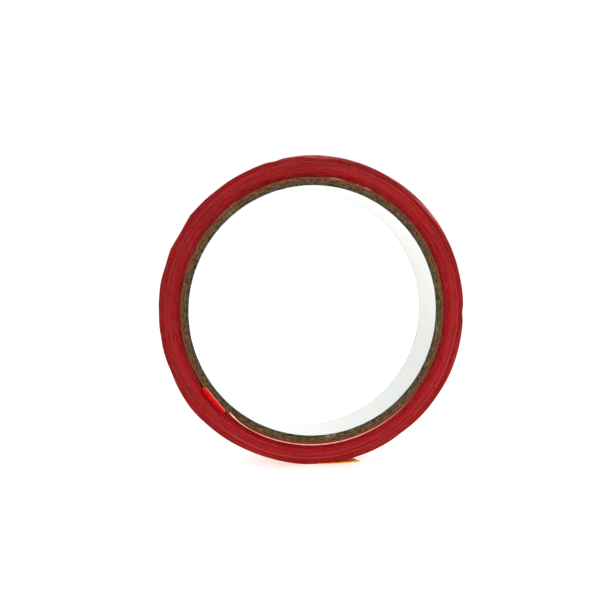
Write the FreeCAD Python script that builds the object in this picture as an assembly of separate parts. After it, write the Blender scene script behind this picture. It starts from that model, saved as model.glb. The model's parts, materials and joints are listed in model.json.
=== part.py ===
"""A roll of coloured film tape on a paperboard core, standing on its rim.

Frame: millimetres, +Z up, the roll's axis along Y, origin at the centre of the core's bore.
The tape is one strip, wound outward anticlockwise as seen from the front (-Y) side.
Angles are in degrees in the XZ plane, from +X towards +Z, and a winding is the angle through
which the strip has gone since its start.
"""

import FreeCAD
import Part
import math
import os

# Core
BORE_RADIUS = 38.1            # for a 3 inch hub
LINER_THICKNESS = 0.12        # white paper that lines the bore
GREY_PLY_THICKNESS = 0.60     # innermost board ply
BROWN_PLY_THICKNESS = 0.42    # each of the brown board plies outside it
BROWN_PLY_COUNT = 4
COVER_THICKNESS = 0.25        # kraft paper round the outside of the core
SEAM_GAP = 0.25               # the plies are helical strips, so each has a slanting butt joint
SEAM_SLANT = 52.0             # between the joint and the roll's axis
FIRST_SEAM = 20.0             # angle of the first ply's joint
SEAM_STEP = 77.0              # from one ply's joint to the next one's

# Tape strip
TAPE_WIDTH = 19.0
FILM_THICKNESS = 0.16         # film and adhesive together
START_ANGLE = 214.0           # where the strip starts on the core
CLIMB = 13.0                  # each turn climbs onto the one below it over this angle
CLIMB_STEPS = 6               # the climb's spline passes through the ends of this many steps
WHOLE_TURNS = 39              # turns up to the start angle
CUT_GAP = 0.05                # degrees between a turn's end and its own beginning

# Foot, the small flat that the roll's weight presses into its rim
DOWN = 270.0                  # the angle that points at the ground
FOOT_HALF_ANGLE = 5.2

# The first turn was started askew, so its edge stands proud of the front face and tapers in
PROUD_HEIGHT = 1.1            # where the lip ends
PROUD_END = 335.0             # the angle where the edge is flush again
LIP_END = 227.5               # the proud edge is folded over the core from the start to here
LIP_ROOT_HEIGHT = 0.30        # the film still stands this far out under the fold
LIP_REACH = 1.20              # from the fold inward over the core's end
LIP_TAPER = 0.65              # the free edge is shorter than the fold by this at each end
LIP_ROUND = 0.45              # radius of the blunt corner
LIP_RISE = 14.0               # angle by which the lip springs back from the core's end
LIP_CLEARANCE = 0.04

# Loose end beyond the last turn
FREE_LENGTH = 9.8
FREE_BEND_RADIUS = 110.0      # it lifts very slightly towards its tip
FREE_CLEARANCE = 0.03
FREE_SKEW = 3.5               # the cut across it is this much out of square

# Derived sizes
HALF_WIDTH = TAPE_WIDTH / 2
CORE_RADIUS = (BORE_RADIUS + LINER_THICKNESS + GREY_PLY_THICKNESS
               + BROWN_PLY_COUNT * BROWN_PLY_THICKNESS + COVER_THICKNESS)
FULL_TURN = 360.0
END_ANGLE = DOWN + FOOT_HALF_ANGLE
END_WINDING = WHOLE_TURNS * FULL_TURN + END_ANGLE - START_ANGLE
ROLL_RADIUS = CORE_RADIUS + (WHOLE_TURNS + 1) * FILM_THICKNESS
FOOT_LEVEL = -ROLL_RADIUS * math.cos(math.radians(FOOT_HALF_ANGLE))
AXIS = FreeCAD.Vector(0, 1, 0)
CORNER_TOLERANCE = 0.01


def at(radius, angle, y=-HALF_WIDTH):
    """The point at this radius and angle, by default in the plane of the front face."""
    turn = math.radians(angle)
    return FreeCAD.Vector(radius * math.cos(turn), y, radius * math.sin(turn))


def strip_radius(winding):
    """Radius of the strip's inner face after this much winding."""
    turns, past = divmod(winding, FULL_TURN)
    climbed = max(0.0, (past - FULL_TURN + CLIMB) / CLIMB)
    return CORE_RADIUS + FILM_THICKNESS * (turns + climbed * climbed * (3 - 2 * climbed))


def strip_point(winding, offset):
    """A point on the strip's inner face, or offset outward from it."""
    return at(strip_radius(winding) + offset, START_ANGLE + winding)


def strip_piece(start, end, offset):
    """One smooth edge of a turn: an arc on its level stretch, a spline on its climb."""
    middle = (start + end) / 2
    if middle % FULL_TURN < FULL_TURN - CLIMB:
        points = [strip_point(w, offset) for w in (start, middle, end)]
        return Part.Arc(*points).toShape()
    windings = [start + (end - start) * i / CLIMB_STEPS for i in range(CLIMB_STEPS + 1)]
    curve = Part.BSplineCurve()
    curve.interpolate([strip_point(w, offset) for w in windings])
    return curve.toShape()


def strip_edges(start, end, offset):
    """The strip's face from one winding to another, cut where its climbs begin and end."""
    breaks = []
    for turn in range(WHOLE_TURNS + 2):
        breaks += [turn * FULL_TURN - CLIMB, turn * FULL_TURN]
    inside = [w for w in breaks if start < w < end]
    windings = [start] + inside + [end]
    return [strip_piece(a, b, offset) for a, b in zip(windings, windings[1:])]


def line(a, b):
    """A straight edge."""
    return Part.LineSegment(a, b).toShape()


def prism(edges):
    """The closed outline's face, drawn from the front face to the back one."""
    wire = Part.Wire(Part.__sortEdges__(edges))
    return Part.Face(wire).extrude(AXIS * TAPE_WIDTH)


def tube(inner, outer, front=-HALF_WIDTH):
    """A plain ring that ends at the back face."""
    base = FreeCAD.Vector(0, front, 0)
    length = HALF_WIDTH - front
    whole = Part.makeCylinder(outer, length, base, AXIS)
    return whole.cut(Part.makeCylinder(inner, length, base, AXIS))


def board_ply(inner, thickness, seam_angle):
    """A core ply with the slanting gap of its butt joint."""
    outer = inner + thickness
    ring = tube(inner, outer)
    length = 2 * TAPE_WIDTH
    gap = Part.makeBox(2 * thickness, length, SEAM_GAP)
    gap.translate(FreeCAD.Vector(inner - thickness / 2, -length / 2, -SEAM_GAP / 2))
    gap.rotate(FreeCAD.Vector(), FreeCAD.Vector(1, 0, 0), SEAM_SLANT)
    gap.rotate(FreeCAD.Vector(), AXIS, -seam_angle)
    return ring.cut(gap)


def core():
    """Every layer of the core by name, from the bore outward."""
    layers = {"core_liner": tube(BORE_RADIUS, BORE_RADIUS + LINER_THICKNESS)}
    radius = BORE_RADIUS + LINER_THICKNESS
    thicknesses = [GREY_PLY_THICKNESS] + [BROWN_PLY_THICKNESS] * BROWN_PLY_COUNT
    for number, thickness in enumerate(thicknesses):
        seam = FIRST_SEAM + number * SEAM_STEP
        layers[f"core_ply_{number + 1}"] = board_ply(radius, thickness, seam)
        radius += thickness
    layers["core_cover"] = tube(radius, CORE_RADIUS)
    return layers


def footed_path(offset, start=END_WINDING - FULL_TURN):
    """The last turn's face, with the straight chord of the foot just before the strip's end."""
    foot_start = END_WINDING - 2 * FOOT_HALF_ANGLE
    foot = line(strip_point(foot_start, offset), strip_point(END_WINDING, offset))
    return strip_edges(start, foot_start, offset) + [foot]


def tape_pack():
    """All the turns between the first and the last one, pressed into one solid ring."""
    before_last = END_WINDING - FULL_TURN
    outer = footed_path(0) + [line(strip_point(END_WINDING, 0), strip_point(before_last, 0))]
    # The opening follows the outside of the first turn and the step at its start
    inner = strip_edges(0, FULL_TURN, FILM_THICKNESS)
    inner.append(line(strip_point(FULL_TURN, FILM_THICKNESS), strip_point(0, FILM_THICKNESS)))
    return prism(outer).cut(prism(inner))


def last_turn():
    """The outermost turn, up to the line where the loose end begins."""
    start = END_WINDING - FULL_TURN + CUT_GAP
    return prism(footed_path(0, start) + footed_path(FILM_THICKNESS, start)
                 + [line(strip_point(start, 0), strip_point(start, FILM_THICKNESS)),
                    line(strip_point(END_WINDING, 0), strip_point(END_WINDING, FILM_THICKNESS))])


def first_turn():
    """The turn on the core, with the edge that stands proud of the front face."""
    end = FULL_TURN - CUT_GAP
    edges = strip_edges(0, end, 0) + strip_edges(0, end, FILM_THICKNESS)
    for winding in (0, end):
        edges.append(line(strip_point(winding, 0), strip_point(winding, FILM_THICKNESS)))
    outer = CORE_RADIUS + FILM_THICKNESS
    ring = tube(CORE_RADIUS, outer, -HALF_WIDTH - PROUD_HEIGHT)
    # Seen from above: a low step under the lip, then a long taper
    start_x = at(outer, START_ANGLE).x
    lip_x = at(outer, LIP_END).x
    flush_x = at(outer, PROUD_END).x
    plan = [(start_x, 0), (start_x, LIP_ROOT_HEIGHT), (lip_x, LIP_ROOT_HEIGHT),
            (lip_x, PROUD_HEIGHT), (flush_x, 0), (start_x, 0)]
    wire = Part.makePolygon([FreeCAD.Vector(x, -HALF_WIDTH - h, -ROLL_RADIUS) for x, h in plan])
    proud_space = Part.Face(wire).extrude(FreeCAD.Vector(0, 0, ROLL_RADIUS))
    return prism(edges).fuse(ring.common(proud_space)).removeSplitter()


def start_lip():
    """The edge folded over at the strip's start, drawn lying flat and set on its hinge line."""
    half_fold = CORE_RADIUS * math.sin(math.radians((LIP_END - START_ANGLE) / 2))
    half_edge = half_fold - LIP_TAPER
    # X runs along the fold away from the strip's start, Z reaches inward over the core
    corners = [(-half_fold, 0), (half_fold, 0), (half_edge, LIP_REACH), (-half_edge, LIP_REACH)]
    wire = Part.makePolygon([FreeCAD.Vector(x, 0, z) for x, z in corners + corners[:1]])
    plate = Part.Face(wire).extrude(AXIS * -FILM_THICKNESS)
    blunt = [edge for edge in plate.Edges
             if edge.BoundBox.XMax < -half_edge + CORNER_TOLERANCE
             and edge.BoundBox.ZMin > LIP_REACH - CORNER_TOLERANCE]
    plate = plate.makeFillet(LIP_ROUND, blunt)
    plate.rotate(FreeCAD.Vector(), FreeCAD.Vector(1, 0, 0), LIP_RISE)
    middle = (START_ANGLE + LIP_END) / 2
    plate.rotate(FreeCAD.Vector(), AXIS, DOWN - middle)
    hinge_y = -HALF_WIDTH - LIP_ROOT_HEIGHT - LIP_CLEARANCE
    plate.translate(at(CORE_RADIUS + FILM_THICKNESS, middle, hinge_y))
    return plate


def free_end():
    """The loose end: a film that lifts a little from the ground, cut askew across its tip."""
    root_x = ROLL_RADIUS * math.sin(math.radians(FOOT_HALF_ANGLE)) + FREE_CLEARANCE
    sweep = math.asin(FREE_LENGTH / FREE_BEND_RADIUS)

    def bend_point(radius, turn):
        x = root_x + radius * math.sin(turn)
        return FreeCAD.Vector(x, -HALF_WIDTH, FOOT_LEVEL + FREE_BEND_RADIUS - radius * math.cos(turn))

    upper = FREE_BEND_RADIUS - FILM_THICKNESS + FREE_CLEARANCE
    low = [bend_point(FREE_BEND_RADIUS, sweep * part) for part in (0, 0.5, 1)]
    high = [bend_point(upper, sweep * part) for part in (0, 0.5, 1)]
    film = prism([Part.Arc(*low).toShape(), Part.Arc(*high).toShape(),
                  line(low[0], high[0]), line(low[-1], high[-1])])
    tip_x = root_x + FREE_LENGTH
    back_x = tip_x - FREE_SKEW
    offcut = [(tip_x, -HALF_WIDTH), (tip_x, HALF_WIDTH), (back_x, HALF_WIDTH), (tip_x, -HALF_WIDTH)]
    wire = Part.makePolygon([FreeCAD.Vector(x, y, 2 * FOOT_LEVEL) for x, y in offcut])
    return film.cut(Part.Face(wire).extrude(FreeCAD.Vector(0, 0, -2 * FOOT_LEVEL)))


def build():
    """Every solid of the roll by its node name."""
    nodes = core()
    nodes["tape_first_turn"] = first_turn()
    nodes["tape_start_lip"] = start_lip()
    nodes["tape_pack"] = tape_pack()
    nodes["tape_last_turn"] = last_turn()
    nodes["tape_free_end"] = free_end()
    return nodes


os.makedirs("parts", exist_ok=True)
for name, shape in build().items():
    shape.exportStep(f"parts/{name}.step")
    print(name, shape.ShapeType, len(shape.Solids), "valid", shape.isValid(), round(shape.Volume, 2))
print("foot level", round(FOOT_LEVEL, 4), "roll radius", round(ROLL_RADIUS, 4))
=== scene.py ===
"""A roll of translucent red film tape on a paperboard core, standing on its rim.

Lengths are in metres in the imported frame: +Z up, the bore axis along Y, the front face towards -Y.
Angles are in degrees in the XZ plane, from +X towards +Z. A winding is the angle through which
the tape has gone since it started on the core, so whole turns are 360 apart.
"""

import bmesh
import bpy
import json
import math
import numpy as np
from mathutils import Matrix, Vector


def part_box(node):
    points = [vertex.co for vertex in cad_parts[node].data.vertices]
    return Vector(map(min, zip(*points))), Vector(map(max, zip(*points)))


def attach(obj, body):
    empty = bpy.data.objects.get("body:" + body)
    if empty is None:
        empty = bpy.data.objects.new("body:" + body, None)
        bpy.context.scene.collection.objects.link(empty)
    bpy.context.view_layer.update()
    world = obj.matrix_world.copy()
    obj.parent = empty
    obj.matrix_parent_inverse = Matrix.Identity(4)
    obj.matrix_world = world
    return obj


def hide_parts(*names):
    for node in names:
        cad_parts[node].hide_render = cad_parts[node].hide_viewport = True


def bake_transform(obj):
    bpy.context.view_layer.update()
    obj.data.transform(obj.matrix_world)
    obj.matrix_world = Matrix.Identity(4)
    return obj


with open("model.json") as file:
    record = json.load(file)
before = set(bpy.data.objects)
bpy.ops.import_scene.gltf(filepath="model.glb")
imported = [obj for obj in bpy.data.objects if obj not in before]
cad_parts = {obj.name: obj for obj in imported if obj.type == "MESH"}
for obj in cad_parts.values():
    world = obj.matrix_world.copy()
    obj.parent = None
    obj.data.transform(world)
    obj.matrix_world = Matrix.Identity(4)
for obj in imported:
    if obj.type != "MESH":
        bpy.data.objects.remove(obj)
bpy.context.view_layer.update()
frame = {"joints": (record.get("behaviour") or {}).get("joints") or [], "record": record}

MM = 0.001
FULL_TURN = 360.0
DOWN = 270.0
WHOLE_WAVE = 6.283            # radians

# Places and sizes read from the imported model
MOUNTS = {m["name"]: m for m in frame["record"]["mounts"]}
JOINTS = {j["name"]: j for j in frame["joints"]}
BORE_RADIUS = MOUNTS["core_bore"]["dims"]["r_mm"] * MM
FOOT_LEVEL = MOUNTS["rim_foot"]["pos_m"][2]
PEEL_LINE = Vector(JOINTS["free_end_peel"]["pos_m"])
LIP_HINGE = Vector(JOINTS["start_lip_fold"]["pos_m"])
HALF_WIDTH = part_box("tape_pack")[1].y
CORE_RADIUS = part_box("core_cover")[1].z
PROUD_HEIGHT = -HALF_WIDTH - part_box("tape_first_turn")[0].y
FREE_TIP_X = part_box("tape_free_end")[1].x

# The tape strip
FILM = 0.16 * MM
# The box of the last turn stops one film short: only the bottom of the roll has the very last layer
ROLL_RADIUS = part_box("tape_last_turn")[1].z + FILM
START_ANGLE = 214.0
CLIMB = 13.0                  # each turn climbs onto the one below it over this angle
PEEL_ANGLE = 271.4            # where the film visibly leaves the roll
WHOLE_TURNS = 39
LAST_WINDING = WHOLE_TURNS * FULL_TURN + PEEL_ANGLE - START_ANGLE
COLUMN = 2.0                  # degrees between most of a turn's cross-sections

# The film's start: the folded lip, then a proud edge that leans inward and stands up again
LIP_END = 227.7
LINE_START = 228.6            # the proud edge comes up a little past the lip
PROUD_END = 342.0
LEAN = 1.0 * MM
LEAN_CENTRE = 229.0
LEAN_WIDTH = 6.0

# Round the folded start the turns stand off the core, and settle where the proud edge comes up
BULGE = 0.45 * MM
BULGE_START = 211.8
BULGE_RISE = 4.4              # degrees over which they come off the core
BULGE_FALL = 2.4              # degrees over which they settle


def smooth(x):
    """An S-shaped step from 0 to 1."""
    x = np.clip(x, 0.0, 1.0)
    return x * x * (3 - 2 * x)


def apart(angle, centre):
    """Degrees from the centre to the angle, the short way round."""
    return (np.asarray(angle) - centre + 180.0) % FULL_TURN - 180.0


def hump(angle, centre, width):
    """A bell-shaped bump of height 1 on the circle."""
    return np.exp(-(apart(angle, centre) / width) ** 2)


def humps(angle, *bumps):
    """The sum of some bumps, each given by its centre, its height and its width."""
    return sum(height * hump(angle, centre, width) for centre, height, width in bumps)


def wobble(angle, seed, low, high):
    """A smooth random ripple round the circle, about -1 to 1, with low to high waves a turn."""
    draw = np.random.RandomState(seed)
    total = 0.0
    for waves in range(low, high + 1):
        size, phase = draw.normal(), draw.uniform(0, WHOLE_WAVE)
        total = total + size * np.sin(np.radians(waves * angle) + phase)
    return total / math.sqrt(high - low + 1)


def polar(radius, angle, y):
    """Points at these radii and angles round the bore axis."""
    turn = np.radians(angle)
    radius, turn, y = np.broadcast_arrays(radius, turn, y)
    return np.stack([radius * np.cos(turn), y, radius * np.sin(turn)], -1)


# ---------------------------------------------------------------- meshes

def make_mesh(name, points, faces, materials, kinds):
    """A closed, outward-facing solid from points and faces, with its materials by face."""
    mesh = bpy.data.meshes.new(name)
    mesh.from_pydata(np.reshape(points, (-1, 3)).tolist(), [], faces)
    for material in materials:
        mesh.materials.append(material)
    mesh.polygons.foreach_set("material_index", np.asarray(kinds, np.int32))
    mesh.polygons.foreach_set("use_smooth", np.ones(len(mesh.polygons), bool))
    solid = bmesh.new()
    solid.from_mesh(mesh)
    bmesh.ops.recalc_face_normals(solid, faces=solid.faces)
    solid.to_mesh(mesh)
    solid.free()
    obj = bpy.data.objects.new(name, mesh)
    bpy.context.scene.collection.objects.link(obj)
    return obj


def grid_faces(rows, columns, loop_rows=False, loop_columns=False):
    """Quads over a grid of points that is rows by columns, closed on itself where asked."""
    i, j = np.meshgrid(np.arange(rows - (not loop_rows)), np.arange(columns - (not loop_columns)),
                       indexing="ij")
    i, j = i.ravel(), j.ravel()
    next_i, next_j = (i + 1) % rows, (j + 1) % columns
    corners = np.stack([i * columns + j, i * columns + next_j, next_i * columns + next_j,
                        next_i * columns + j], -1)
    return corners.tolist()


def sweep(name, points, kinds, materials, closed=False):
    """A solid from a row of cross-sections, each a loop of points.

    kinds are the materials of the loop's sides, either one row for all or a row for each section.
    """
    count, around = points.shape[:2]
    faces = grid_faces(count, around, loop_rows=closed, loop_columns=True)
    segments = count if closed else count - 1
    kinds = np.broadcast_to(kinds, (segments, around))
    by_face = kinds.ravel().tolist()
    if not closed:
        faces.append(list(range(around)))
        faces.append([(count - 1) * around + j for j in reversed(range(around))])
        by_face += [int(kinds[0, 0]), int(kinds[-1, 0])]
    return make_mesh(name, points, faces, materials, by_face)


def vertices(obj):
    """The places of a mesh's points."""
    return np.array([vertex.co for vertex in obj.data.vertices])


def angle_of(places):
    """Where round the axis these points are."""
    return np.degrees(np.arctan2(places[:, 2], places[:, 0]))


def spread(obj, name, values):
    """A value at each point of the mesh, for its material to read."""
    attribute = obj.data.attributes.new(name, "FLOAT", "POINT")
    attribute.data.foreach_set("value", np.asarray(values, np.float32).ravel())


def sheet(name, middle, thickness, materials, lit_columns):
    """A thin solid round a grid of points: materials are for its faces and for its cut edge.

    lit_columns says how many of the first and of the last columns of the faces take the edge's
    material too. The attributes along and across run from 0 to 1 over the grid's rows and columns.
    """
    rows, columns = middle.shape[:2]
    normal = np.cross(np.gradient(middle, axis=0), np.gradient(middle, axis=1))
    normal /= np.linalg.norm(normal, axis=-1, keepdims=True)
    sides = [middle + normal * thickness / 2, middle - normal * thickness / 2]
    quads = grid_faces(rows, columns)
    total = rows * columns
    faces = quads + [[total + corner for corner in quad] for quad in quads]
    face, edge = range(2)
    column = np.arange(len(quads)) % (columns - 1)
    lit = (column < lit_columns[0]) | (column >= columns - 1 - lit_columns[1])
    kinds = np.where(lit, edge, face).tolist() * 2
    grid = np.arange(total).reshape(rows, columns)
    rim = np.concatenate([grid[0], grid[1:, -1], grid[-1, -2::-1], grid[-2:0:-1, 0]]).tolist()
    for here, after in zip(rim, rim[1:] + rim[:1]):
        faces.append([here, after, total + after, total + here])
        kinds.append(edge)
    obj = make_mesh(name, np.stack(sides), faces, materials, kinds)
    along, across = np.meshgrid(np.linspace(0, 1, rows), np.linspace(0, 1, columns), indexing="ij")
    spread(obj, "along", [along, along])
    spread(obj, "across", [across, across])
    return obj


# ---------------------------------------------------------------- the tape's path

def start_bulge(angle):
    """How far the turns stand off the core round the strip's folded start."""
    past = np.asarray(angle) % FULL_TURN
    return BULGE * smooth((past - BULGE_START) / BULGE_RISE) * smooth((LINE_START - past) / BULGE_FALL)


def out_of_round(angle):
    """How far the roll's rim stands from a true circle: soft spots, ridges, corners and two nicks."""
    # Each has its centre and its width in degrees, and its height between them in millimetres
    lumps = [(40, 0.24, 18), (84, 0.17, 16), (94, 0.10, 4.0), (105, -0.30, 2.2), (118, -0.12, 8),
             (129, -0.12, 4.0), (149.4, -0.27, 4.6), (163, -0.16, 3.2), (170, 0.10, 3.5),
             (181, -0.14, 4.0), (189, -0.13, 2.6), (202.5, -0.14, 3.0), (218, 0.22, 8),
             (250, -0.34, 15), (306, -0.17, 4.0), (329, 0.13, 26), (340, 0.14, 10),
             (359.0, -0.32, 2.2)]
    corners = [(142.4, 0.33, 3.2), (156.4, 0.20, 2.6)]
    total = 0.02 * wobble(angle, 7, 9, 26) + humps(angle, *lumps)
    for centre, height, width in corners:
        total = total + height * np.exp(-np.abs(apart(angle, centre)) / width)
    return total * MM


def foot_squeeze(angle):
    """How far the rim is pressed in where the roll stands on it."""
    outline = ROLL_RADIUS + out_of_round(angle)
    # Held above zero, because it divides
    down = np.maximum(-np.sin(np.radians(angle)), 0.05)
    return np.maximum(outline + FOOT_LEVEL / down, 0.0)


def strip_radius(winding):
    """Radius of the strip's inner face at these windings.

    The bulge of the start fades outward through the turns, and the rim's lumps fade inward.
    """
    turns, past = np.divmod(winding, FULL_TURN)
    climbed = smooth((past - FULL_TURN + CLIMB) / CLIMB)
    angle = START_ANGLE + winding
    radius = CORE_RADIUS + FILM * (turns + climbed)
    depth = (radius + FILM - CORE_RADIUS) / (ROLL_RADIUS - CORE_RADIUS)
    radius = radius + start_bulge(angle) * (1 - depth) + out_of_round(angle) * depth ** 1.5
    return radius - foot_squeeze(angle) * depth


# How unevenly the turns lie, in millimetres along the axis
TURN_DRIFT = 0.013
TURN_JITTER = 0.012
TURN_RIPPLE = 0.012


def turn_shift(winding):
    """How far each turn is shifted along the axis: the pack's edges are never quite level."""
    draw = np.random.RandomState(11)
    count = WHOLE_TURNS + 3
    drift = np.cumsum(draw.normal(0, TURN_DRIFT, count))
    level = drift - np.linspace(drift[0], drift[-1], count) + draw.normal(0, TURN_JITTER, count)
    # A few turns two thirds of the way out stand proud, and so does a pair nearer the core
    level[28:31] -= (0.035, 0.06, 0.03)
    level[9:11] -= 0.03
    turns, past = np.divmod(winding, FULL_TURN)
    turns = turns.astype(int)
    here = level[turns] * MM
    after = level[turns + 1] * MM
    # Slowed, so that one turn's ripple doesn't lie over the next one's
    ripple = TURN_RIPPLE * MM * wobble(winding * 0.37, 23, 2, 14)
    return here + (after - here) * past / FULL_TURN + ripple


RIM_WEAR = 0.16 * MM
WORN_TURNS = 1.6


def rim_rounding(winding):
    """How far the outermost turns' edges are worn back from the faces."""
    from_outside = (LAST_WINDING - winding) / FULL_TURN
    return RIM_WEAR * np.exp(-from_outside / WORN_TURNS)


# ---------------------------------------------------------------- materials

class Shade:
    """A principled material, with short ways to wire up its colour and relief."""

    def __init__(self, name, **sockets):
        self.material = bpy.data.materials.new(name)
        self.material.use_nodes = True
        self.tree = self.material.node_tree
        self.surface = self.tree.nodes["Principled BSDF"]
        for socket, value in sockets.items():
            self.surface.inputs[socket.replace("_", " ")].default_value = value
        place = self.node("ShaderNodeTexCoord").outputs["Object"]
        parts = self.node("ShaderNodeSeparateXYZ", place).outputs
        self.x, self.y, self.z = [self.math("MULTIPLY", part, 1 / MM) for part in parts]
        squares = self.math("ADD", self.math("MULTIPLY", self.x, self.x),
                            self.math("MULTIPLY", self.z, self.z))
        self.radius = self.math("SQRT", squares)

    def node(self, kind, *inputs, **settings):
        node = self.tree.nodes.new(kind)
        for setting, value in settings.items():
            setattr(node, setting, value)
        for socket, value in zip(node.inputs, inputs):
            if isinstance(value, bpy.types.NodeSocket):
                self.tree.links.new(value, socket)
            elif value is not None:
                socket.default_value = value
        return node

    def math(self, operation, *values):
        return self.node("ShaderNodeMath", *values, operation=operation).outputs[0]

    def round_noise(self, along, across, axial=0.0, detail=3.0, roughness=0.55, seed=0.0):
        """Noise with this many waves to a radian round the axis, and to a millimetre otherwise."""
        direction = [self.math("MULTIPLY", self.math("DIVIDE", part, self.radius), along)
                     for part in (self.x, self.z)]
        third = self.math("MULTIPLY_ADD", self.radius, across,
                          self.math("MULTIPLY_ADD", self.y, axial, seed))
        node = self.node("ShaderNodeTexNoise",
                         self.node("ShaderNodeCombineXYZ", *direction, third).outputs[0])
        node.inputs["Scale"].default_value = 1.0
        node.inputs["Detail"].default_value = detail
        node.inputs["Roughness"].default_value = roughness
        return node.outputs["Fac"]

    def attribute(self, name):
        return self.node("ShaderNodeAttribute", attribute_name=name).outputs["Fac"]

    def span(self, value, low, high, start=0.0, end=1.0):
        """A value rescaled from low-high to start-end and held there."""
        return self.node("ShaderNodeMapRange", value, low, high, start, end).outputs[0]

    def ramp(self, value, *stops):
        """A colour from a value, through (place, colour) stops."""
        node = self.node("ShaderNodeValToRGB", value)
        elements = node.color_ramp.elements
        while len(elements) < len(stops):
            elements.new(0.5)
        for element, (place, colour) in zip(elements, stops):
            element.position = place
            element.color = paint(*colour)
        return node.outputs["Color"]

    def mix(self, share, a, b, kind="MIX"):
        """Two colours mixed, each a socket or a paint."""
        node = self.node("ShaderNodeMix", data_type="RGBA", blend_type=kind)
        for socket, value in ((node.inputs[0], share), (node.inputs[6], a), (node.inputs[7], b)):
            if isinstance(value, bpy.types.NodeSocket):
                self.tree.links.new(value, socket)
            else:
                socket.default_value = value
        return node.outputs[2]

    def colour(self, value):
        self.tree.links.new(value, self.surface.inputs["Base Color"])

    def roughness(self, value):
        self.tree.links.new(value, self.surface.inputs["Roughness"])

    def bump(self, height, depth):
        node = self.node("ShaderNodeBump")
        node.inputs["Strength"].default_value = 1.0
        node.inputs["Distance"].default_value = depth
        self.tree.links.new(height, node.inputs["Height"])
        self.tree.links.new(node.outputs[0], self.surface.inputs["Normal"])


def paint(red, green, blue):
    """A linear colour from the usual 0-255 display values."""
    return tuple((v / 255 / 12.92) if v <= 10 else ((v / 255 + 0.055) / 1.055) ** 2.4
                 for v in (red, green, blue)) + (1.0,)


def edge_material():
    """The slit edges of the wound film: crimson, streaked turn by turn, with painted highlights on a
    few proud turns and on the rims, and painted light from the ground.
    """
    shade = Shade("tape_edge", Roughness=0.5, Specular_IOR_Level=0.03)
    place = shade.span(shade.radius, CORE_RADIUS / MM, ROLL_RADIUS / MM)
    drift = shade.round_noise(1.4, 1.1, detail=2.0)
    place = shade.math("ADD", place, shade.span(drift, 0.3, 0.7, -0.014, 0.014))
    body = shade.ramp(place, (0.0, (138, 6, 8)), (0.08, (140, 6, 8)), (0.18, (162, 13, 16)),
                      (0.35, (170, 24, 27)), (0.44, (178, 34, 37)), (0.60, (164, 26, 29)),
                      (0.70, (166, 30, 32)), (0.76, (156, 16, 17)), (0.93, (160, 18, 19)),
                      (1.0, (164, 24, 25)))
    # A few turns stand proud, and a painted highlight lies on them, most of all at the right and the
    # bottom
    ring = shade.ramp(place, (0.635, (0, 0, 0)), (0.665, (255, 255, 255)), (0.70, (0, 0, 0)))
    towards = shade.math("MULTIPLY_ADD", shade.z, -0.6, shade.x)
    ring = shade.math("MULTIPLY", ring, shade.span(towards, -45.0, 5.0, 0.2, 1.0))
    body = shade.mix(ring, body, paint(200, 64, 64))
    fine = shade.round_noise(4.0, 3.4, detail=4.0, roughness=0.7)
    broad = shade.round_noise(9.0, 1.5, detail=4.0, roughness=0.6, seed=40.0)
    shading = shade.math("MULTIPLY", shade.span(fine, 0.30, 0.70, 0.68, 1.28),
                         shade.span(broad, 0.30, 0.70, 0.91, 1.08))
    turns = shade.round_noise(0.9, 3.2, detail=3.0, roughness=0.7, seed=80.0)
    shading = shade.math("MULTIPLY", shading, shade.span(turns, 0.30, 0.70, 0.74, 1.28))
    # Painted light from the ground: the lowest turns, and those to the right, are lighter
    low = shade.math("MULTIPLY_ADD", shade.x, -0.45, shade.z)
    shading = shade.math("MULTIPLY", shading, shade.span(low, -48.0, 48.0, 1.11, 0.91))
    grey = shade.node("ShaderNodeCombineColor", shading, shading, shading).outputs[0]
    body = shade.mix(1.0, body, grey, "MULTIPLY")
    # Milky scratches from the slitting knife
    haze = shade.round_noise(16.0, 2.6, detail=5.0, roughness=0.75, seed=60.0)
    body = shade.mix(shade.span(haze, 0.44, 0.72, 0.0, 0.05), body, paint(255, 200, 205))
    knife = shade.round_noise(1.6, 3.4, detail=2.0, roughness=0.8, seed=95.0)
    body = shade.mix(shade.span(knife, 0.50, 0.64, 0.0, 0.13), body, paint(226, 104, 112))
    # Painted highlights on the rims, broken into fine lines
    broken = shade.span(shade.round_noise(6.0, 2.4, detail=2.0, seed=12.0), 0.47, 0.56, 0.0, 1.0)
    painted_rim_highlight = shade.math("MULTIPLY", shade.attribute("pale"), broken)
    shade.colour(shade.mix(painted_rim_highlight, body, paint(250, 160, 150)))
    return shade.material


def film_material():
    """The film's glossy outer face, deep red because many turns lie under it, with painted highlights
    along its rims.
    """
    shade = Shade("tape_film", Roughness=0.24, Specular_IOR_Level=0.16, Coat_Weight=0.22,
                  Coat_Roughness=0.12)
    cloud = shade.round_noise(3.0, 0.4, axial=0.12, detail=4.0)
    streaks = shade.round_noise(1.2, 0.5, axial=1.6, detail=4.0, roughness=0.65, seed=9.0)
    body = shade.ramp(cloud, (0.3, (156, 5, 12)), (0.5, (172, 7, 15)), (0.72, (190, 14, 22)))
    body = shade.mix(shade.span(streaks, 0.45, 0.72, 0.0, 0.4), body, paint(134, 3, 9))
    # Painted highlights along the rims, broken into fine lines
    broken = shade.span(shade.round_noise(45.0, 3.0, axial=2.0, seed=12.0), 0.40, 0.62, 0.15, 1.0)
    painted_rim_highlight = shade.math("MULTIPLY", shade.attribute("pale"), broken)
    shade.colour(shade.mix(painted_rim_highlight, body, paint(246, 168, 158)))
    shade.roughness(shade.span(cloud, 0.3, 0.7, 0.18, 0.34))
    shade.bump(shade.round_noise(6.0, 1.0, axial=0.9, detail=3.0, seed=3.0), 0.02 * MM)
    return shade.material


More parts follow.
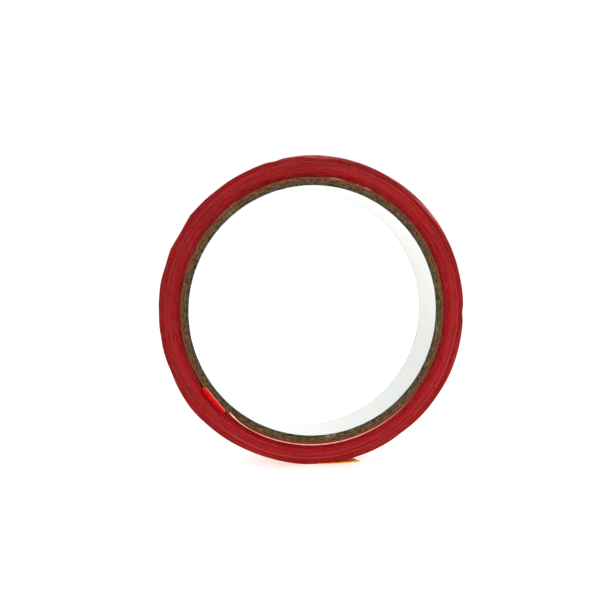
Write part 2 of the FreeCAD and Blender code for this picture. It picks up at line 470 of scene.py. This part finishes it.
def adhesive_material():
    """The film and its adhesive where they stand free: pale pink, glowing with painted light in place
    of light coming through.
    """
    shade = Shade("tape_adhesive", Roughness=0.3, Specular_IOR_Level=0.3, Emission_Strength=0.34)
    mottle = shade.round_noise(30.0, 2.0, axial=2.0, detail=3.0)
    body = shade.ramp(mottle, (0.25, (255, 138, 124)), (0.5, (255, 166, 154)),
                      (0.8, (255, 196, 186)))
    body = shade.mix(shade.attribute("glow"), paint(140, 8, 10), body)
    shade.colour(body)
    # Painted light: it glows in its own pale colour
    shade.tree.links.new(body, shade.surface.inputs["Emission Color"])
    return shade.material


def lip_materials():
    """The single thickness of film folded over the core: bright red, with painted shade darkening it
    towards its root and a painted highlight on its cut edge.
    """
    face = Shade("tape_single_film", Roughness=0.4, Specular_IOR_Level=0.06)
    streaks = face.round_noise(48.0, 0.9, axial=1.0, detail=4.0, roughness=0.65)
    place = face.math("ADD", face.attribute("across"), face.span(streaks, 0.3, 0.7, -0.13, 0.13))
    # Painted shade: darker across the fold towards its root, where it lies next to the pack
    face.colour(face.ramp(place, (0.0, (104, 0, 4)), (0.50, (122, 0, 5)), (0.64, (164, 0, 7)),
                          (0.77, (222, 0, 9)), (0.90, (244, 6, 12)), (1.0, (236, 56, 38))))
    # Painted highlight: the cut edge is pale orange
    edge = Shade("tape_lit_edge", Roughness=0.35, Specular_IOR_Level=0.2)
    spots = edge.round_noise(60.0, 4.0, axial=4.0)
    edge.colour(edge.ramp(spots, (0.3, (255, 110, 74)), (0.55, (255, 156, 112)),
                          (0.8, (255, 190, 140))))
    return face.material, edge.material


def free_end_materials():
    """The loose end: one film thick, so some light from the ground comes through it, and painted light
    makes it glow orange.
    """
    face = Shade("tape_loose_film", Roughness=0.5, Transmission_Weight=0.3, Specular_IOR_Level=0.02,
                 Emission_Color=paint(232, 104, 10), Emission_Strength=0.12)
    wander = face.round_noise(40.0, 0.5, axial=0.5)
    drift = face.span(wander, 0.3, 0.7, -0.05, 0.05)
    depth = face.math("ADD", face.attribute("across"), drift)
    # Painted shade: a darker band just behind the lit front edge
    body = face.ramp(depth, (0.05, (196, 74, 14)), (0.16, (158, 42, 6)), (0.26, (206, 84, 34)),
                     (0.45, (222, 96, 52)), (1.0, (214, 70, 36)))
    # Painted light: the lifted tip is pale, as if lit through
    tip = face.span(face.math("ADD", face.attribute("along"), drift), 0.78, 0.97)
    face.colour(face.mix(tip, body, paint(255, 206, 150)))
    # Painted light: the cut edge glows yellow-orange
    edge = Shade("tape_loose_edge", Roughness=0.4, Specular_IOR_Level=0.2, Emission_Strength=0.3,
                 Emission_Color=paint(255, 196, 90))
    speck = edge.round_noise(60.0, 1.0)
    edge.colour(edge.ramp(speck, (0.3, (255, 176, 48)), (0.6, (255, 204, 80)),
                          (0.9, (255, 226, 130))))
    return face.material, edge.material


def paper_material():
    """The white paper that lines the bore, with faint fibres, a few grey specks and painted shade
    deeper in the bore.
    """
    shade = Shade("liner_paper", Roughness=0.85, Specular_IOR_Level=0.2)
    fibres = shade.round_noise(60.0, 1.0, axial=1.2, detail=5.0, roughness=0.7)
    body = shade.ramp(fibres, (0.3, (245, 248, 243)), (0.5, (251, 253, 249)), (0.7, (255, 255, 253)))
    # Painted shade: a little darker towards the back and at the lower right, and most at its back edge
    lower_right = shade.math("MULTIPLY_ADD", shade.z, -1.33, shade.x)
    painted_bore_shade = shade.math("ADD", shade.span(shade.y, -8.0, 9.0, 0.0, 0.17),
                        shade.span(lower_right, 33.0, 62.0, 0.0, 0.26))
    painted_bore_shade = shade.math("ADD", painted_bore_shade, shade.span(shade.y, 8.3, 9.0, 0.0, 0.50))
    body = shade.mix(painted_bore_shade, body, paint(200, 206, 203))
    specks = shade.round_noise(120.0, 1.0, axial=3.0, detail=1.0, seed=20.0)
    shade.colour(shade.mix(shade.span(specks, 0.76, 0.80, 0.0, 0.5), body, paint(190, 170, 172)))
    shade.bump(fibres, 0.02 * MM)
    return shade.material


def board_material(name, dark, middle, light):
    """Recycled paperboard: matted fibres, dark flecks and paler frays."""
    shade = Shade(name, Roughness=0.95, Specular_IOR_Level=0.1)
    layers = shade.round_noise(26.0, 3.2, axial=0.5, detail=4.0, roughness=0.7)
    body = shade.ramp(layers, (0.38, dark), (0.5, middle), (0.62, light))
    # The outer plies are a warmer brown
    body = shade.mix(shade.span(shade.radius, 39.5, 40.5, 0.0, 0.60), body, paint(134, 72, 50))
    mottle = shade.round_noise(58.0, 2.8, axial=1.0, detail=3.0, seed=70.0)
    body = shade.mix(shade.span(mottle, 0.48, 0.64, 0.0, 0.55), body, paint(*dark))
    frays = shade.round_noise(70.0, 3.0, axial=2.0, detail=3.0, seed=33.0)
    body = shade.mix(shade.span(frays, 0.51, 0.66, 0.0, 0.70), body, paint(*light))
    pale = shade.attribute("pale")
    scuffed = shade.math("MULTIPLY", pale, shade.span(frays, 0.42, 0.56, 0.1, 1.0))
    shade.colour(shade.mix(scuffed, body, paint(186, 172, 150)))
    shade.bump(layers, 0.05 * MM)
    return shade.material


def cover_material():
    """Tan kraft paper round the core."""
    shade = Shade("kraft_paper", Roughness=0.85, Specular_IOR_Level=0.15)
    fibres = shade.round_noise(40.0, 3.0, axial=1.5, detail=4.0)
    body = shade.ramp(fibres, (0.3, (120, 64, 42)), (0.5, (148, 82, 56)), (0.72, (178, 112, 82)))
    pale = shade.attribute("pale")
    shade.colour(shade.mix(shade.math("MULTIPLY", pale, 0.8), body, paint(186, 122, 90)))
    return shade.material


EDGE = edge_material()
SKIN = film_material()
ADHESIVE = adhesive_material()
LIP_FACE, LIP_EDGE = lip_materials()
LOOSE_FACE, LOOSE_EDGE = free_end_materials()
PAPER = paper_material()
GREY_BOARD = board_material("grey_board", (38, 34, 28), (70, 61, 50), (122, 110, 92))
BROWN_BOARD = board_material("brown_board", (54, 39, 23), (99, 75, 49), (146, 116, 82))
KRAFT = cover_material()
TAPE = [EDGE, SKIN, ADHESIVE]
CUT, OUTSIDE, PALE = range(3)


# ---------------------------------------------------------------- tape pieces

BROKEN = 0.035 * MM           # how far the slit edges' corners are rounded
SEEN_PROUD = 0.06 * MM        # the edge shows pale where it stands out by more than this
FULL_GLOW = 0.40 * MM         # its outer face too above this, and the glow fades in over this height
RIM_HIGHLIGHT_DEPTH = 0.7 * MM       # how deep into the pack's faces the painted rim highlight reaches
RIM_HIGHLIGHT_WIDTH = 0.9 * MM       # and how far over the outer face


def wound(name, windings, front, back, outer_rows=(), lean=None, lift=None):
    """The strip between two windings as one solid with softly broken corners.

    front and back are the axial places of its edges. outer_rows are the places between them,
    from 0 to 1, that the outer face has points at, and lift raises that face by a height for
    each winding and row. lean tips whatever stands proud of the front face towards the axis.
    """
    inner = strip_radius(windings)
    flat = np.zeros_like(windings)
    quarter = FILM / 4
    ring = [(quarter + flat, front), (FILM - quarter + flat, front)]
    kinds = [CUT, CUT]
    rows = [(FILM, front + BROKEN)]
    rows += [(FILM + lift(windings, row), front + (back - front) * row) for row in outer_rows]
    rows += [(FILM, back - BROKEN)]
    ring += [(height + flat, y) for height, y in rows]
    kinds += [OUTSIDE] * (len(rows) - 1) + [CUT]
    ring += [(FILM - quarter + flat, back), (quarter + flat, back), (flat, back - BROKEN),
             (flat, front + BROKEN)]
    kinds += [CUT] * 4
    if lean is not None:
        ring, kinds = with_proud_rows(ring, windings, front, lean)
    points = np.stack([polar(inner + height, START_ANGLE + windings, y) for height, y in ring], 1)
    return sweep(name, points, kinds, TAPE)


def with_proud_rows(ring, windings, front, lean):
    """The same cross-section with rows of points over its proud part, tipped inward there.

    Its sides' materials come with it: the edge is pale and glows with painted light where it stands
    proud.
    """
    proud = np.maximum(-HALF_WIDTH - front, BROKEN)
    shares = (0.2, 0.45, 0.7, 1.0)
    outside = [(FILM + 0 * front, front + BROKEN + proud * share) for share in shares]
    inside = [(0 * front, y) for _, y in reversed(outside)]
    ring = ring[:3] + outside + ring[3:-1] + inside + ring[-1:]
    kinds = np.full((len(windings) - 1, len(ring)), CUT)
    stands_out = (-HALF_WIDTH - front[:-1])[:, None]
    pale = stands_out > SEEN_PROUD
    # The outer face is pale and glows with painted light only where the edge stands far out and leans
    # inward
    pale_outside = (stands_out > FULL_GLOW) & (lean[:-1, None] > SEEN_PROUD)
    kinds[:, :2] = np.where(pale, PALE, CUT)
    kinds[:, 2:3] = np.where(pale_outside, PALE, CUT)
    kinds[:, -len(shares) - 1:] = np.where(pale, PALE, CUT)
    tipped = []
    for height, y in ring:
        share = np.clip((-HALF_WIDTH - y) / proud, 0.0, 1.0)
        tipped.append((height - lean * share ** 2, y))
    return tipped, kinds


def proud_height(angle):
    """How far the first turn's edge stands out of the front face at this angle.

    The strip was started askew on the core, so that its edge goes in evenly from left to right.
    """
    lip_x = np.cos(np.radians(LIP_END))
    flush_x = np.cos(np.radians(PROUD_END))
    share = (flush_x - np.cos(np.radians(angle))) / (flush_x - lip_x)
    tall = PROUD_HEIGHT * np.clip(share, 0.0, 1.0) * (1 + 0.05 * wobble(angle, 5, 9, 24))
    in_range = (angle > LINE_START) & (angle < PROUD_END)
    return np.where(in_range, tall * smooth((angle - LINE_START + 0.3) / 5.0), 0.0)


def proud_lean(angle):
    """How far the proud edge tips towards the axis, or away from it where this is negative."""
    flare = 0.04 + 0.08 * smooth((angle - 256.0) / 12.0)
    flare = flare * smooth((angle - 242.0) / 8.0) * smooth((PROUD_END - angle) / 25.0)
    after = 0.14 * hump(angle, 239.0, 5.0)
    return LEAN * hump(angle, LEAN_CENTRE, LEAN_WIDTH) + MM * (after - flare)


TUCKED = 0.15 * MM            # how far in the first turn's edge lies under the lip


def first_turn():
    """The turn on the core, from under the lip, along the proud edge and round to its start."""
    # The cross-sections are closest where the proud edge begins
    windings = np.concatenate([np.arange(0, 12, 1.0), np.arange(12, 30, 0.3),
                               np.arange(30, 125, 1.0), np.arange(125, 359, COLUMN), [359.6]])
    angle = START_ANGLE + windings
    tucked = TUCKED * (1 - smooth((angle - LINE_START + 0.4) / 0.4))
    # On the core its edge lies more level than the other turns' edges
    front = -HALF_WIDTH + turn_shift(windings) * 0.4 + tucked - proud_height(angle)
    back = HALF_WIDTH + turn_shift(windings)
    turn = wound("tape_first_turn_film", windings, front, back, lean=proud_lean(angle))
    angle = angle_of(vertices(turn)) % FULL_TURN
    # The painted glow comes up at once where the edge begins, and fades as it goes in
    coming_up = smooth((angle - LINE_START - 0.3) / 0.8)
    fading = smooth((proud_height(angle) - SEEN_PROUD) / FULL_GLOW)
    spread(turn, "glow", np.where(angle < DOWN, coming_up, fading))
    return turn


def pack():
    """Every turn between the first one and the last."""
    windings = np.append(np.arange(FULL_TURN, LAST_WINDING - FULL_TURN, COLUMN),
                         LAST_WINDING - FULL_TURN)
    worn = rim_rounding(windings)
    shift = turn_shift(windings)
    turns = wound("tape_wound_turns", windings, -HALF_WIDTH + shift + worn, HALF_WIDTH + shift - worn)
    places = vertices(turns)
    depth = ROLL_RADIUS - np.hypot(places[:, 0], places[:, 2])
    # Painted highlights on the rim, fading inward from it
    spread(turns, "pale", rim_highlight_places(places) * np.exp(-(depth / RIM_HIGHLIGHT_DEPTH) ** 2))
    return turns


def rim_highlight_places(places):
    """Where round the roll painted highlights lie on its rims."""
    return humps(angle_of(places), (43.0, 1.0, 8.0), (64.0, 0.5, 10.0), (91.0, 0.8, 9.0),
                 (345.0, 0.25, 9.0), (250.0, 0.15, 9.0), (210.0, 0.3, 8.0))


def skin_lift(windings, row):
    """Relief of the roll's outer face: slanting lines, ridges along the film and shallow blisters."""
    angle = START_ANGLE + windings
    lines = 0.012 * wobble(angle + 6 * row, 31, 20, 60) + 0.010 * wobble(angle - 9 * row, 37, 40, 110)
    ridges = 0.016 * math.sin(21 * row) * wobble(angle, 41, 3, 9)
    blisters = sum(height * hump(angle, centre, width) * math.exp(-((row - place) / 0.09) ** 2)
                   for centre, place, height, width in
                   ((52, 0.20, 0.07, 1.6), (58, 0.34, 0.05, 1.1), (97, 0.72, 0.06, 1.8),
                    (131, 0.45, 0.06, 1.3), (18, 0.58, 0.05, 1.2), (-24, 0.30, 0.06, 1.5)))
    # It fades out at the rims, and where the roll stands
    edge = min(1.0, 12 * min(row, 1 - row))
    standing = smooth((46.0 - np.abs(angle % FULL_TURN - DOWN)) / 30.0)
    return MM * edge * (lines + ridges + blisters) * (1 - standing)


def last_turn():
    """The outermost turn, up to where the film leaves the roll."""
    windings = np.append(np.arange(LAST_WINDING - FULL_TURN, LAST_WINDING, 1.0), LAST_WINDING)
    worn = rim_rounding(windings)
    shift = turn_shift(windings)
    rows = [0.012, 0.03, 0.06] + [0.1 + 0.8 * i / 22 for i in range(23)] + [0.94, 0.97, 0.988]
    turn = wound("tape_outer_turn_film", windings, -HALF_WIDTH + shift + worn,
                 HALF_WIDTH + shift - worn, rows, lift=skin_lift)
    places = vertices(turn)
    near_edge = np.exp(-((np.abs(places[:, 1]) - HALF_WIDTH) / RIM_HIGHLIGHT_WIDTH) ** 2)
    # Painted highlights on the rim, fading away from its edges
    spread(turn, "pale", near_edge * rim_highlight_places(places))
    return turn


LIP_THICKNESS = 0.12 * MM
LIP_LINE = 39.86 * MM         # the lip's free edge is a straight line this far from the axis
LIP_LINE_ANGLE = 219.5        # where round the roll that line comes nearest to the axis
LIP_CORNER = 0.55 * MM        # radius of its rounded corner
LIP_ASKEW = 0.25 * MM         # the last part of the lip is cut short by up to this
LIP_ASKEW_LENGTH = 0.8        # degrees
FOLD_SWELL = 1.0 * MM         # how far out the fold's curve is pulled


def start_lip():
    """The strip's edge folded over the end of the core, one film thick."""
    angles = START_ANGLE + (LIP_END - START_ANGLE) * smooth(np.linspace(0, 1, 49)) ** 0.9
    root = strip_radius(angles - START_ANGLE) + FILM / 2
    free = LIP_LINE / np.cos(np.radians(angles - LIP_LINE_ANGLE))
    # The corner at the strip's start is rounded off, the other one is cut a little askew
    from_start = np.minimum(np.radians(angles - START_ANGLE) * LIP_LINE, LIP_CORNER)
    free += LIP_CORNER - np.sqrt(LIP_CORNER ** 2 - (LIP_CORNER - from_start) ** 2)
    free += LIP_ASKEW * smooth((angles - LIP_END + LIP_ASKEW_LENGTH) / LIP_ASKEW_LENGTH)
    # Across the fold the film swells over the edges of the first turns and comes back inward, along
    # a curve from its root to its free edge with two points between them that pull it outward
    share = np.linspace(0, 1, 25)[None, :]
    a, b, c, d = [weight * (1 - share) ** (3 - power) * share ** power
                  for power, weight in enumerate((1, 3, 3, 1))]
    root = root[:, None]
    swell = FOLD_SWELL * smooth((angles - START_ANGLE) / 1.5 + 0.5)[:, None]
    radius = a * root + b * (root + swell) + c * (root + 0.65 * swell) + d * free[:, None]
    ripple = 0.03 * MM * wobble(angles * 6, 3, 5, 20)[:, None]
    # It starts just behind the front face, and stands proud of it towards its free edge
    proud = a * -0.10 * MM + b * 0.25 * MM + c * 0.55 * MM + d * (0.48 * MM + ripple)
    middle = polar(radius, angles[:, None], -HALF_WIDTH - proud)
    return sheet("tape_start_lip_film", middle, LIP_THICKNESS, [LIP_FACE, LIP_EDGE],
                 lit_columns=(0, 1))


FREE_SIDESTEP = 0.8 * MM      # the loose end lies this much further forward than the roll
FREE_SKEW = 3.2 * MM          # it is this much longer in front than at the back
FREE_LIFT = 0.42 * MM         # its tip stands off the ground by this
FREE_WAVE = 0.10 * MM         # and waves by this


def free_end():
    """The loose film past the last turn, lying on the ground and lifting a little to its tip."""
    last = np.array([LAST_WINDING])
    start = polar(strip_radius(last)[0] + FILM / 2, PEEL_ANGLE, 0.0)
    shift = float(turn_shift(last)[0])
    worn = float(rim_rounding(last)[0])
    share, across = np.meshgrid(np.linspace(0, 1, 61), np.linspace(0, 1, 33), indexing="ij")
    tip = FREE_TIP_X - FREE_SKEW * across + 0.12 * MM * wobble(across * 160, 13, 3, 16)
    x = start[0] + (tip - start[0]) * share
    y = -HALF_WIDTH + worn + shift + (2 * HALF_WIDTH - 2 * worn) * across
    y -= FREE_SIDESTEP * smooth(share * 12)
    free = np.clip((x - PEEL_LINE.x) / (FREE_TIP_X - PEEL_LINE.x), 0.0, 1.0)
    lifted = FREE_LIFT * free ** 2 + FREE_WAVE * free * np.sin(7 * across + 4 * free) * across
    z = start[2] + (FOOT_LEVEL + FILM / 2 - start[2]) * smooth(share * 4) + lifted
    middle = np.stack([x, y, z], -1)
    return sheet("tape_free_end_film", middle, FILM, [LOOSE_FACE, LOOSE_EDGE], lit_columns=(2, 0))


# ---------------------------------------------------------------- core pieces

SEAM_GAP = 0.25 * MM
SEAM_SLANT = math.tan(math.radians(52.0))
FIRST_SEAM = 20.0
SEAM_STEP = 77.0
COVER_SEAM = 158.0
PLY_COUNT = 5
LAYERS = ["core_liner", *(f"core_ply_{i + 1}" for i in range(PLY_COUNT)), "core_cover"]
WALL_ROWS = 14                # points across the width of a layer

# The worn corner at each end, and the crush beside the strip's start, both in millimetres
CORNER_WEAR = 0.14
CORNER_REACH = 1.4
CRUSH = 0.10
CRUSH_REACH = 9.0


def core_dent(angle, radius, y):
    """How far the core's rim is pressed inward: a soft corner, and a crush beside the strip's start."""
    outward = np.clip((radius - BORE_RADIUS) / (CORE_RADIUS - BORE_RADIUS), 0.0, 1.0)
    from_end = HALF_WIDTH - np.abs(y)
    corner = CORNER_WEAR * (1 - smooth(from_end / (CORNER_REACH * MM)))
    crushed = CRUSH * hump(angle, 208.0, 7.5)
    crushed = crushed * (1 - smooth((y + HALF_WIDTH) / (CRUSH_REACH * MM)))
    return MM * (corner + crushed) * outward ** 2


def ply_line(number, angle):
    """Radius of the boundary outside this many layers: the plies' thickness wanders."""
    if number == 0:
        return BORE_RADIUS + 0 * angle
    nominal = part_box(LAYERS[number - 1])[1].z
    if number == len(LAYERS):
        return nominal + 0.02 * MM * wobble(angle, 90, 6, 40)
    return nominal + MM * (0.035 * wobble(angle, 60 + number, 3, 14)
                           + 0.02 * wobble(angle, 80 + number, 20, 90))


def end_relief(angle, number, row, side):
    """Fibres and grooves on a layer's cut end, in millimetres out of the face."""
    seed = 100 + 20 * number + 2 * row + side
    return 0.022 * wobble(angle, seed, 30, 110) + 0.014 * wobble(angle, seed + 500, 150, 330)


def core_layer(name, number, material, seam, pale, rows=5, groove=0.07, flakes=None):
    """One wound layer of the core, with a slanting joint, between two of the ply lines.

    pale says how scuffed its front end is, and flakes how far its outside is lifted off there.
    """
    opening = math.degrees(SEAM_GAP / BORE_RADIUS)
    base = seam + np.append(np.arange(0.0, FULL_TURN - opening, 0.5), FULL_TURN - opening)

    def sheared(y):
        return base + math.degrees(y * SEAM_SLANT / CORE_RADIUS)

    def end_face(side):
        y_face, outward = ((-HALF_WIDTH, -1), (HALF_WIDTH, 1))[side]
        angle = sheared(y_face)
        for row in range(rows):
            share = row / (rows - 1)
            radius = ply_line(number, angle) * (1 - share) + ply_line(number + 1, angle) * share
            if number == 1 and row == 0 and side == 0:
                # In front the board's burr hides the end of the paper
                radius = BORE_RADIUS + 0.02 * MM * wobble(angle, 97, 8, 60)
            sunk = groove if row in (0, rows - 1) else 0.0
            relief = (end_relief(angle, number, row, side) - sunk) * MM
            if flakes is not None and side == 0 and row >= rows - 2:
                lifted = flakes(angle)
                radius = radius + lifted
                relief = relief + 0.3 * lifted + (groove + 0.05) * MM * (lifted > 0.03 * MM)
            yield radius, angle, y_face + outward * relief

    def wall(line):
        for y in np.linspace(-HALF_WIDTH + 0.5 * MM, HALF_WIDTH - 0.5 * MM, WALL_ROWS):
            angle = sheared(y)
            yield ply_line(line, angle), angle, y + 0 * angle

    loop = [*end_face(0), *wall(number + 1), *reversed([*end_face(1)]), *reversed([*wall(number)])]
    loop = [(radius - core_dent(angle, radius, y), angle, y) for radius, angle, y in loop]
    points = np.stack([polar(*place) for place in loop], 1)
    ring = sweep(name, points, [0] * len(loop), [material])
    spread(ring, "pale", np.stack([pale(angle, radius) * (y < 0) for radius, angle, y in loop], 1))
    return ring


def scuffs(angle, radius):
    """Paler frayed places on the board's front end."""
    inner = np.exp(-((radius - BORE_RADIUS - 0.6 * MM) / (0.8 * MM)) ** 2)
    middle = np.exp(-((radius - BORE_RADIUS - 1.2 * MM) / (0.9 * MM)) ** 2)
    return (humps(angle, (276.0, 0.6, 1.3), (279.5, 0.5, 0.9), (352.0, 0.5, 1.1)) * inner
            + humps(angle, (348.5, 0.3, 0.8), (131.0, 0.4, 1.2)) * middle)


def cover_flakes(angle):
    """Shreds of the cover paper that stand out over the tape's edge."""
    return MM * humps(angle, (81.0, 0.26, 2.6), (66.5, 0.20, 1.6), (71.0, 0.12, 1.0),
                      (128.0, 0.10, 2.0))


def frayed(angle, _):
    """How pale the cover's end is: fully so where a shred stands well out."""
    return np.clip(cover_flakes(angle) / (0.15 * MM), 0, 1)


# The lining paper stops a little short of the core's ends, and laps over itself by a thin step
LINER_FRONT_GAP = 0.20 * MM
LINER_BACK_GAP = 0.08 * MM
LAP_ANGLE = 322.0
LAP_STEP = 0.08 * MM


def liner():
    """The white paper tube in the bore, with the thin step of its slanting lap joint."""
    angle = np.arange(0.0, FULL_TURN, 0.75)
    rows = np.concatenate([[0.0, 0.01, 0.03], np.linspace(0.06, 0.94, 34), [0.97, 0.99, 1.0]])
    front = -HALF_WIDTH + LINER_FRONT_GAP + 0.03 * MM * wobble(angle, 71, 12, 70)
    back = HALF_WIDTH - LINER_BACK_GAP + 0.03 * MM * wobble(angle, 72, 12, 70)
    inside, outside = [], []
    for row in rows:
        y = front * (1 - row) + back * row
        past_lap = apart(angle, LAP_ANGLE + np.degrees(y * SEAM_SLANT / BORE_RADIUS))
        lap = LAP_STEP * smooth(past_lap / 0.8) * smooth((9.0 - past_lap) / 6.0)
        dimples = MM * (0.02 * wobble(angle + 25 * row, 51, 6, 22)
                        + 0.01 * wobble(angle - 60 * row, 53, 20, 50))
        inside.append(polar(BORE_RADIUS + dimples - lap, angle, y))
        outside.append(polar(ply_line(1, angle), angle, y))
    points = np.stack(inside + outside[::-1], 1)
    return sweep("core_liner_paper", points, [0] * points.shape[1], [PAPER], closed=True)


def core():
    """Every layer of the core by the CAD node that it stands for."""
    layers = {"core_liner": liner()}
    for number in range(1, PLY_COUNT + 1):
        node = LAYERS[number]
        material = GREY_BOARD if number == 1 else BROWN_BOARD
        seam = FIRST_SEAM + (number - 1) * SEAM_STEP
        layers[node] = core_layer(f"{node}_board", number, material, seam, scuffs)
    layers["core_cover"] = core_layer("core_cover_paper", PLY_COUNT + 1, KRAFT, COVER_SEAM, frayed,
                                      rows=4, groove=0.03, flakes=cover_flakes)
    return layers


# ---------------------------------------------------------------- the object

rigid = {"tape_first_turn": first_turn(), "tape_pack": pack(), "tape_last_turn": last_turn(), **core()}
for node, piece in rigid.items():
    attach(piece, "roll")
    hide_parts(node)

lip = start_lip()
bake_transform(lip)
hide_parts("tape_start_lip")

loose = free_end()
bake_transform(loose)
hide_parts("tape_free_end")


# ---------------------------------------------------------------- stage, light and camera

def floor():
    """A white floor that is softly lit through, with a painted warm glow, as of the film's light,
    beside the roll's foot.
    """
    shade = Shade("floor_white", Roughness=0.9, Specular_IOR_Level=0.0, Base_Color=(0.2, 0.2, 0.2, 1.0),
                  Emission_Strength=0.94)
    # The glow is even near a place just left of the foot, and gone 20 mm to its sides and 27 mm
    # before and behind the roll's middle
    beside = shade.math("ABSOLUTE", shade.math("ADD", shade.x, 1.0))
    glow = shade.math("MULTIPLY", shade.span(beside, 9.0, 20.0, 1.0, 0.0),
                      shade.span(shade.math("ABSOLUTE", shade.y), 9.0, 27.0, 1.0, 0.0))
    tint = shade.mix(glow, (1.0, 1.0, 1.0, 1.0), (0.92, 0.75, 0.69, 1.0))
    shade.tree.links.new(tint, shade.surface.inputs["Emission Color"])
    reach = 6.0
    mesh = bpy.data.meshes.new("floor")
    corners = [(-reach, -reach), (reach, -reach), (reach, reach), (-reach, reach)]
    mesh.from_pydata([(x, y, FOOT_LEVEL) for x, y in corners], [], [(0, 1, 2, 3)])
    mesh.materials.append(shade.material)
    obj = bpy.data.objects.new("floor", mesh)
    bpy.context.scene.collection.objects.link(obj)


def softbox(name, place, size, power):
    """A square soft light aimed at the roll."""
    data = bpy.data.lights.new(name, "AREA")
    data.size = size
    data.energy = power
    lamp = bpy.data.objects.new(name, data)
    lamp.location = place
    lamp.rotation_euler = (-Vector(place)).to_track_quat("-Z", "Y").to_euler()
    bpy.context.scene.collection.objects.link(lamp)


def surroundings(front, behind, above, right):
    """A white room: its strengths before and behind the roll, and what is added overhead and right."""
    world = bpy.data.worlds.new("white_room")
    world.use_nodes = True
    tree = world.node_tree
    light = tree.nodes["Background"]
    light.inputs["Color"].default_value = (1, 1, 1, 1)
    direction = tree.nodes.new("ShaderNodeTexCoord")
    parts = tree.nodes.new("ShaderNodeSeparateXYZ")
    tree.links.new(direction.outputs["Generated"], parts.inputs[0])
    spans = []
    for axis, limits in (("Y", (-0.6, 0.6, front, behind)), ("Z", (0.0, 1.0, 0.0, above)),
                         ("X", (-0.8, 0.8, -right, right))):
        span = tree.nodes.new("ShaderNodeMapRange")
        for socket, value in zip(list(span.inputs)[1:5], limits):
            socket.default_value = value
        tree.links.new(parts.outputs[axis], span.inputs["Value"])
        spans.append(span.outputs[0])
    total = spans[0]
    for span in spans[1:]:
        added = tree.nodes.new("ShaderNodeMath")
        tree.links.new(total, added.inputs[0])
        tree.links.new(span, added.inputs[1])
        total = added.outputs[0]
    seen = tree.nodes.new("ShaderNodeLightPath")
    pick = tree.nodes.new("ShaderNodeMix")
    tree.links.new(seen.outputs["Is Camera Ray"], pick.inputs["Factor"])
    tree.links.new(total, pick.inputs["A"])
    pick.inputs["B"].default_value = 1.0
    tree.links.new(pick.outputs[0], light.inputs["Strength"])
    bpy.context.scene.world = world


def camera():
    """A little left of the roll and above its axis, looking across its front face."""
    data = bpy.data.cameras.new("camera")
    data.lens = 55.1
    view = bpy.data.objects.new("camera", data)
    view.location = Vector((-45.9, -284.6, 15.5)) * MM
    aim = Vector((-4.525, -9.5, 3.40)) * MM
    view.rotation_euler = (aim - view.location).to_track_quat("-Z", "Y").to_euler()
    bpy.context.scene.collection.objects.link(view)
    bpy.context.scene.camera = view


floor()
softbox("overhead", (0.0, 0.25, 0.9), 0.6, 2.5)
softbox("front_left", (-0.6, -0.8, 0.45), 0.6, 0.5)
surroundings(front=0.40, behind=0.8, above=0.45, right=0.12)
camera()
bpy.context.scene.view_settings.view_transform = "Standard"
